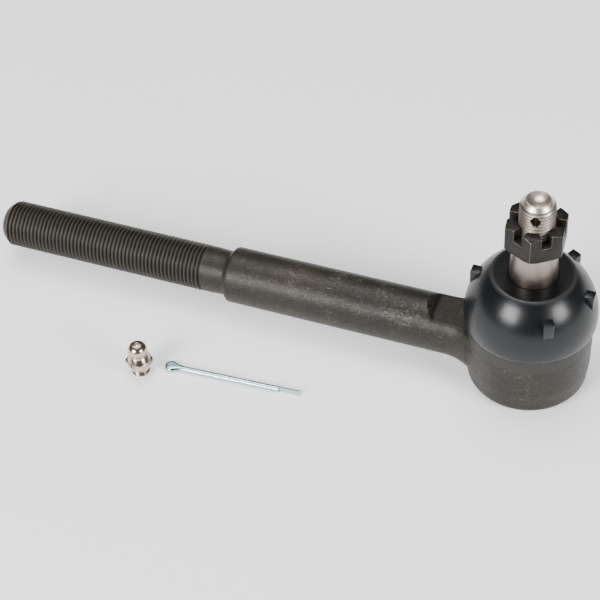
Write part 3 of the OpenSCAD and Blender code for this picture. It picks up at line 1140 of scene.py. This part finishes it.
@dataclass
class CastleNut:
    """The slotted nut, with turned-off corners and softened edges.

    Args:
        low_z: Height of its foot.
        height: Its height.
        flats: Its size across the flats.
        bore_r: Radius of its bore.
        slot: Width and depth of its slots.
        heading: Direction of one corner in degrees.
        end_share: Radius of its end faces, as a share of the radius at its corners.
        rise_share: Height of the turned-off corners, as a share of the same radius.
        worn: Width of the worn edges.
        finish: The oxide.
        edges: The worn edges.
    """

    low_z: float = 58.0
    height: float = 9.5
    flats: float = 17.4625
    bore_r: float = 5.62
    slot: tuple[float, float] = (3.2, 4.2)
    heading: float = 34.5
    end_share: float = 0.906
    rise_share: float = 0.094 * 0.6
    worn: float = 0.15
    finish: BlackOxide = field(default_factory=BlackOxide)
    edges: BrightMetal = BrightMetal("worn_edges", (0.30, 0.26, 0.22), (0.05, 0.042, 0.035), 0.30,
                                     0.2, 0.75, 900, 0.00003)

    def blank(self) -> Piece:
        """Models the hexagon with its corners turned off at both ends."""
        nut = hexagon("nut_skin", self.flats, self.low_z, self.height, self.heading)
        corner_r = self.flats / math.sqrt(3)
        end_r, rise = corner_r * self.end_share, corner_r * self.rise_share
        low, top = self.low_z, self.low_z + self.height
        keep = turn("corners", [(0.0, low), (end_r, low), (corner_r, low + rise),
                                (corner_r + 1, low + rise * 2), (corner_r + 1, top - rise * 2),
                                (corner_r, top - rise), (end_r, top), (0.0, top)], 144)
        carve(nut, keep, Carve.KEEP)
        return nut

    def build(self) -> Piece:
        """Builds and dresses the nut.

        Returns:
            The nut.
        """
        nut = self.blank()
        top = self.low_z + self.height
        bore = turn("bore", [(0.0, self.low_z - 1), (self.bore_r, self.low_z - 1),
                             (self.bore_r, top - 0.7), (self.bore_r + 0.9, top + 0.3),
                             (0.0, top + 0.3)], 96)
        carve(nut, bore, Carve.CUT)
        width, depth = self.slot
        for i in range(3):
            tool = block("slot", (3 * self.flats, width, depth + 2),
                         (0, 0, (top - depth + (depth + 2) / 2) * MM),
                         math.radians(self.heading + 30 + 60 * i))
            carve(nut, tool, Carve.CUT)
        seal(nut, 2e-5)
        nut.data.materials.append(self.finish.build())
        nut.data.materials.append(self.edges.build())
        modify(nut, "BEVEL", width=self.worn * MM, segments=2, limit_method="ANGLE",
               angle_limit=math.radians(35), use_clamp_overlap=True, material=1)
        seal(nut, 1e-6)
        smooth(nut, 34)
        dress(nut, None, Body.NUT, "castle_nut")
        return nut


@dataclass
class LockingPin:
    """The loose split pin: one half-round wire bent round an eye.

    Args:
        eye: Place of the eye's centre on the floor, and the pin's direction in degrees.
        wire: Radius of the half-round wire.
        flat_r: Radius of the eye at the wire's flat face.
        bend_r: Radius of the bend between eye and leg.
        gap: Half the gap between the legs.
        legs: Distance of the short and long leg's tips from the eye's centre.
        finish: The zinc.
    """

    eye: tuple[float, float, float] = (-111.1, -36.1, 2.9)
    wire: float = 1.0
    flat_r: float = 1.3
    bend_r: float = 9.0
    gap: float = 0.06
    legs: tuple[float, float] = (37.5, 44.7)
    finish: BrightMetal = BrightMetal("bright_zinc", (0.50, 0.60, 0.63), (0.20, 0.38, 0.45), 0.18,
                                      0.16, 0.55, 420, 0.00003)

    def build(self) -> Piece:
        """Sweeps the wire: leg, bend, eye, bend, leg.

        Returns:
            The pin.
        """
        reach = self.flat_r + self.bend_r
        rise = self.gap + self.bend_r
        lean = math.asin(rise / reach)
        foot = reach * math.cos(lean)
        short, long = self.legs
        section = [(-self.gap - self.wire * math.cos(a), self.wire * math.sin(a))
                   for a in (math.radians(-90 + 180 * i / 14) for i in range(15))]
        pin = draw("pin_skin", section)
        bpy.ops.mesh.select_all(action="SELECT")
        bpy.ops.mesh.edge_face_add()
        bpy.ops.object.mode_set(mode="OBJECT")
        pin.rotation_euler = (0, 0, math.pi / 2)
        pin.location = (short * MM, 0, 0)
        settle(pin)
        edit(pin, "FACE")
        self._run((foot - short) * MM)
        self._bend((foot, -rise), math.pi / 2 - lean)
        self._bend((0.0, 0.0), -(FULL_TURN - 2 * lean), 56)
        self._bend((foot, rise), math.pi / 2 - lean)
        self._run((long - foot) * MM)
        close_up(pin)
        x, y, heading = self.eye
        pin.rotation_euler = (0, 0, math.radians(heading))
        pin.location = (x * MM, y * MM, self.wire * MM)
        settle(pin)
        smooth(pin, 40)
        dress(pin, self.finish.build(), Body.LOCKING_PIN, "cotter_pin")
        return pin

    def _run(self, length: float) -> None:
        """Extrudes the wire's end along X by a signed length in metres."""
        bpy.ops.mesh.extrude_region_move(TRANSFORM_OT_translate={"value": (length, 0, 0)})

    def _bend(self, centre: tuple[float, float], angle: float, steps: int = 14) -> None:
        """Spins the wire's end about an upright axis, left-hand for a positive angle."""
        bpy.ops.mesh.spin(steps=steps, angle=-angle, center=(centre[0] * MM, centre[1] * MM, 0),
                          axis=(0, 0, 1))


@dataclass
class GreaseFitting:
    """The loose grease fitting: fine thread, hexagon, neck and rounded nose.

    Args:
        place: Its place on the floor and its turn in degrees.
        height: Overall height.
        thread_r: Outer radius of the thread.
        pitch: Its pitch, 28 turns to the inch.
        hex_z: Height of the hexagon's foot.
        hex_h: Height of the hexagon.
        flats: Size across the flats.
        nose_r: Radius of the nose.
        hole_r: Radius of the passage.
        chamber_r: Radius of the chamber that holds the check ball.
        ball_z: Height of the check ball's centre.
        finish: The plating.
    """

    place: tuple[float, float, float] = (-120.2, -40.6, 23.7)
    height: float = 13.7
    thread_r: float = 3.1
    pitch: float = 0.907
    hex_z: float = 4.4
    hex_h: float = 2.3
    flats: float = 7.94
    nose_r: float = 3.25
    hole_r: float = 0.8
    chamber_r: float = 1.2
    ball_z: float = 12.1
    finish: BrightMetal = BrightMetal("warm_nickel", (0.60, 0.50, 0.405), (0.30, 0.23, 0.17), 0.15,
                                      0.14, 0.40, 600, 0.00002)

    def grip(self) -> Piece:
        """Models the hexagon with its corners turned off."""
        piece = hexagon("hexagon", self.flats, self.hex_z, self.hex_h)
        corner_r = self.flats / math.sqrt(3)
        end_r = self.flats / 2 - 0.1
        rise = (corner_r - end_r) * 0.6
        low, high = self.hex_z, self.hex_z + self.hex_h
        keep = turn("corners", [(0.0, low), (end_r, low), (corner_r + 0.2, low + rise),
                                (corner_r + 0.2, high - rise), (end_r, high), (0.0, high)], 96)
        carve(piece, keep, Carve.KEEP)
        modify(piece, "BEVEL", width=0.07 * MM, segments=2, limit_method="ANGLE",
               angle_limit=math.radians(35))
        return piece

    def nose(self) -> Piece:
        """Turns the neck and the rounded nose."""
        top = self.hex_z + self.hex_h
        rim, neck = self.flats / 2, self.nose_r - 0.5
        widest = self.height - 2.8
        outline = [(0.0, top - 1), (rim - 0.3, top - 1), (rim - 0.12, top - 0.1),
                   (rim - 0.4, top + 0.35), (neck + 0.2, top + 1.5),
                   (neck, top + 1.75), (neck, widest - 1.5), (neck + 0.1, widest - 1.25),
                   (self.nose_r - 0.12, widest - 0.6), (self.nose_r, widest - 0.35)]
        outline += arc((0.6, widest), self.nose_r - 0.6, 0, 68, 12)
        outline += [(1.52, self.height - 0.1), (1.35, self.height), (0.0, self.height)]
        return turn("nose", outline, 96)

    def foot(self) -> Piece:
        """Models the fine thread with its tapered start."""
        foot = thread("foot", self.thread_r, self.pitch, 0.0, self.hex_z + 0.5, 56)
        keep = turn("start", [(0.0, 0.0), (self.thread_r - 0.8, 0.0), (self.thread_r + 0.3, 1.7),
                              (self.thread_r + 0.3, 6.0), (0.0, 6.0)], 64)
        carve(foot, keep, Carve.KEEP)
        seal(foot)
        return foot

    def build(self) -> Piece:
        """Builds and dresses the fitting.

        Returns:
            The fitting.
        """
        fitting = self.foot()
        carve(fitting, self.grip(), Carve.ADD)
        carve(fitting, self.nose(), Carve.ADD)
        outline = [(0.0, -1.0), (self.hole_r, -1.0), (self.hole_r, 4.0), (self.chamber_r, 4.0)]
        outline += arc((0.0, self.ball_z), self.chamber_r, 0, 48, 8)
        outline += [(self.hole_r, self.height + 1), (0.0, self.height + 1)]
        carve(fitting, turn("passage", outline, 56), Carve.CUT)
        seal(fitting)
        x, y, heading = self.place
        fitting.name = "fitting_skin"
        fitting.rotation_euler = (0, 0, math.radians(heading))
        fitting.location = (x * MM, y * MM, 0)
        settle(fitting)
        smooth(fitting, 34)
        dress(fitting, self.finish.build(), Body.FITTING, "grease_fitting")
        return fitting


@dataclass
class DiscSpring:
    """The coned disc spring under the lower seat.

    Args:
        outer_r: Outer radius.
        inner_r: Radius of its hole.
        low_z: Height of its lowest edge.
        high_z: Height of its highest edge.
        sheet: Thickness of its sheet.
        soft: Width of its eased edges.
        finish: The steel.
    """

    outer_r: float = 12.2
    inner_r: float = 6.4
    low_z: float = 2.50
    high_z: float = 4.95
    sheet: float = 0.9
    soft: float = 0.08
    finish: BrightMetal = BrightMetal("spring_steel", (0.24, 0.25, 0.28), (0.10, 0.09, 0.08), 0.26,
                                      0.2, 0.5, 300)

    def build(self) -> Piece:
        """Builds and dresses the disc spring.

        Returns:
            The spring.
        """
        foot, brim, soft = self.low_z + self.sheet, self.high_z - self.sheet, self.soft
        spring = turn("disc_spring", [
            (self.outer_r - soft, self.low_z), (self.outer_r, self.low_z + soft),
            (self.outer_r, foot - soft), (self.outer_r - soft, foot),
            (self.inner_r + soft, self.high_z), (self.inner_r, self.high_z - soft),
            (self.inner_r, brim + soft), (self.inner_r + soft, brim)], 96)
        smooth(spring, 32)
        flex(spring, self.finish.build(), (Body.HEAD, Body.LOWER_SEAT),
             "preload_spring")
        return spring


@dataclass
class CheckSpring:
    """The small coil spring behind the fitting's check ball.

    Args:
        place: The fitting's place on the floor.
        coil_r: Radius of the wire's middle.
        wire_r: Radius of the wire.
        low_z: Height of the wire's middle at its foot.
        high_z: Height of the wire's middle at its top.
        turns: Number of turns.
        finish: The wire.
    """

    place: tuple[float, float] = (-120.2, -40.6)
    coil_r: float = 0.96
    wire_r: float = 0.14
    low_z: float = 4.19
    high_z: float = 10.76
    turns: int = 7
    finish: BrightMetal = BrightMetal("spring_wire", (0.45, 0.45, 0.47), (0.25, 0.24, 0.22), 0.22,
                                      0.15, 0.3, 900, 0.00001)

    def build(self) -> Piece:
        """Builds and dresses the coil spring.

        Returns:
            The spring.
        """
        clear_selection()
        bpy.ops.mesh.primitive_circle_add(vertices=10, radius=self.wire_r * MM,
                                          location=(self.coil_r * MM, 0, self.low_z * MM),
                                          rotation=(math.radians(90), 0, 0))
        spring = bpy.context.object
        spring.name = "coil_spring"
        settle(spring)
        modify(spring, "SCREW", axis="Z", steps=30, render_steps=30, angle=FULL_TURN,
               screw_offset=(self.high_z - self.low_z) / self.turns * MM, iterations=self.turns)
        edit(spring)
        bpy.ops.mesh.remove_doubles(threshold=1e-6)
        bpy.ops.mesh.select_all(action="DESELECT")
        bpy.ops.mesh.select_non_manifold(extend=False)
        bpy.ops.mesh.fill_holes(sides=0)
        close_up(spring)
        spring.location = (self.place[0] * MM, self.place[1] * MM, 0)
        settle(spring)
        smooth(spring, 40)
        flex(spring, self.finish.build(), (Body.FITTING, Body.FITTING_BALL),
             "check_spring")
        return spring


@dataclass
class InnerParts:
    """The parts inside the head and the fitting, which keep the frame's own shapes."""

    def build(self, nodes: dict[str, Piece]) -> None:
        """Dresses each shown part of the frame.

        Args:
            nodes: The frame's parts by name.
        """
        sintered = Porous().build()
        ground = BrightMetal("ground_steel", (0.56, 0.54, 0.51), (0.30, 0.27, 0.23), 0.20, 0.2,
                             0.4, 420).build()
        looks = {
            "cover_plate": BrightMetal("plated_cover", (0.55, 0.55, 0.53), (0.34, 0.33, 0.29),
                                       0.30, 0.2, 0.5, 260, 0.00004).build(),
            "pressure_seat": sintered,
            "upper_race": sintered,
            "half_ball_bearing": ground,
            "check_ball": BrightMetal("polished_ball", (0.60, 0.60, 0.60), (0.40, 0.38, 0.36),
                                      0.08, 0.1, 0.3, 900, 0.00001).build(),
        }
        for name, material in looks.items():
            paint(nodes[name], material)
            LOG.info("%s keeps the frame's shape", name)


# ---------------------------------------------------------------- studio


@dataclass
class SoftBox:
    """One square studio lamp.

    Args:
        name: Its name.
        towards: Direction from the boot to the lamp.
        distance: How far away it stands, in metres.
        side: Its size in metres.
        watts: Its power.
    """

    name: str
    towards: Spot
    distance: float
    side: float
    watts: float

    def build(self, centre: Vector) -> None:
        """Adds the lamp, aimed at a centre."""
        lamp = bpy.data.lights.new(self.name, "AREA")
        lamp.shape = "SQUARE"
        lamp.size = self.side
        lamp.energy = self.watts
        direction = Vector(self.towards).normalized()
        holder = bpy.data.objects.new(self.name, lamp)
        holder.location = centre + direction * self.distance
        holder.rotation_euler = direction.to_track_quat("Z", "Y").to_euler()
        bpy.context.scene.collection.objects.link(holder)
        LOG.info("lamp %s: %.1f W, %.2f m across", self.name, self.watts, self.side)


@dataclass
class Studio:
    """Floor, lamps, surroundings and camera.

    Args:
        aim: The point at the middle of the picture.
        azimuth: The camera's direction about Z, in degrees.
        elevation: Its height above the horizon, in degrees.
        roll: Its roll, in degrees.
        distance: Its distance from the aim, in metres.
        lens: Its focal length in millimetres on a 36 mm sensor.
        world: Brightness of the surroundings.
        lit: The point that the lamps are aimed at.
        lamps: The lamps.
    """

    aim: Spot = (-0.0717, -0.0163, 0.0259)
    azimuth: float = 23.673
    elevation: float = 46.109
    roll: float = -4.107
    distance: float = 0.5388
    lens: float = 100.54
    world: float = 0.10
    lit: Spot = (0, 0, 0.0284)
    lamps: tuple[SoftBox, ...] = (
        SoftBox("left_box", (-0.40, -0.79, 0.49), 1.20, 0.50, 20.0),
        SoftBox("right_box", (0.845, -0.275, 0.445), 1.20, 0.46, 14.0),
        SoftBox("top_box", (-0.15, 0.20, 1.0), 1.70, 1.10, 26.0),
    )

    def camera(self) -> None:
        """Adds the camera at the solved viewing angle and makes it the scene's own."""
        a, e, r = (math.radians(v) for v in (self.azimuth, self.elevation, self.roll))
        back = Vector((math.sin(a) * math.cos(e), -math.cos(a) * math.cos(e), math.sin(e)))
        level = Vector((math.cos(a), math.sin(a), 0.0))
        upright = back.cross(level)
        right = level * math.cos(r) + upright * math.sin(r)
        up = back.cross(right)
        lens = bpy.data.cameras.new("camera")
        lens.lens = self.lens
        lens.sensor_width = 36
        lens.clip_start = 0.01
        holder = bpy.data.objects.new("camera", lens)
        turned = Matrix((right, up, back)).transposed().to_4x4()
        holder.matrix_world = Matrix.Translation(Vector(self.aim) + back * self.distance) @ turned
        bpy.context.scene.collection.objects.link(holder)
        bpy.context.scene.camera = holder

    def floor(self) -> None:
        """Adds the pale floor."""
        clear_selection()
        bpy.ops.mesh.primitive_plane_add(size=6, location=(0, 0, 0))
        floor = bpy.context.object
        floor.name = "floor"
        floor.data.materials.append(Paper().build())

    def surroundings(self) -> None:
        """Lights the scene faintly and evenly with a white world."""
        world = bpy.data.worlds.new("studio")
        world.use_nodes = True
        sky = world.node_tree.nodes["Background"]
        sky.inputs["Color"].default_value = (1.0, 1.0, 1.0, 1.0)
        sky.inputs["Strength"].default_value = self.world
        bpy.context.scene.world = world

    def build(self) -> None:
        """Sets the whole studio up."""
        self.floor()
        self.surroundings()
        for lamp in self.lamps:
            lamp.build(Vector(self.lit))
        self.camera()


def main() -> None:
    """Loads the frame, models and dresses every piece, and sets up the studio."""
    logging.basicConfig(level=logging.INFO, format="%(name)s: %(message)s")
    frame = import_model()
    for assembly in (Forging(), DustBoot(), BallStud(), CastleNut(), LockingPin(),
                     GreaseFitting(), DiscSpring(), CheckSpring()):
        assembly.build()
    InnerParts().build(frame["nodes"])
    Studio().build()
    clear_selection()


if __name__ == "__main__":
    main()
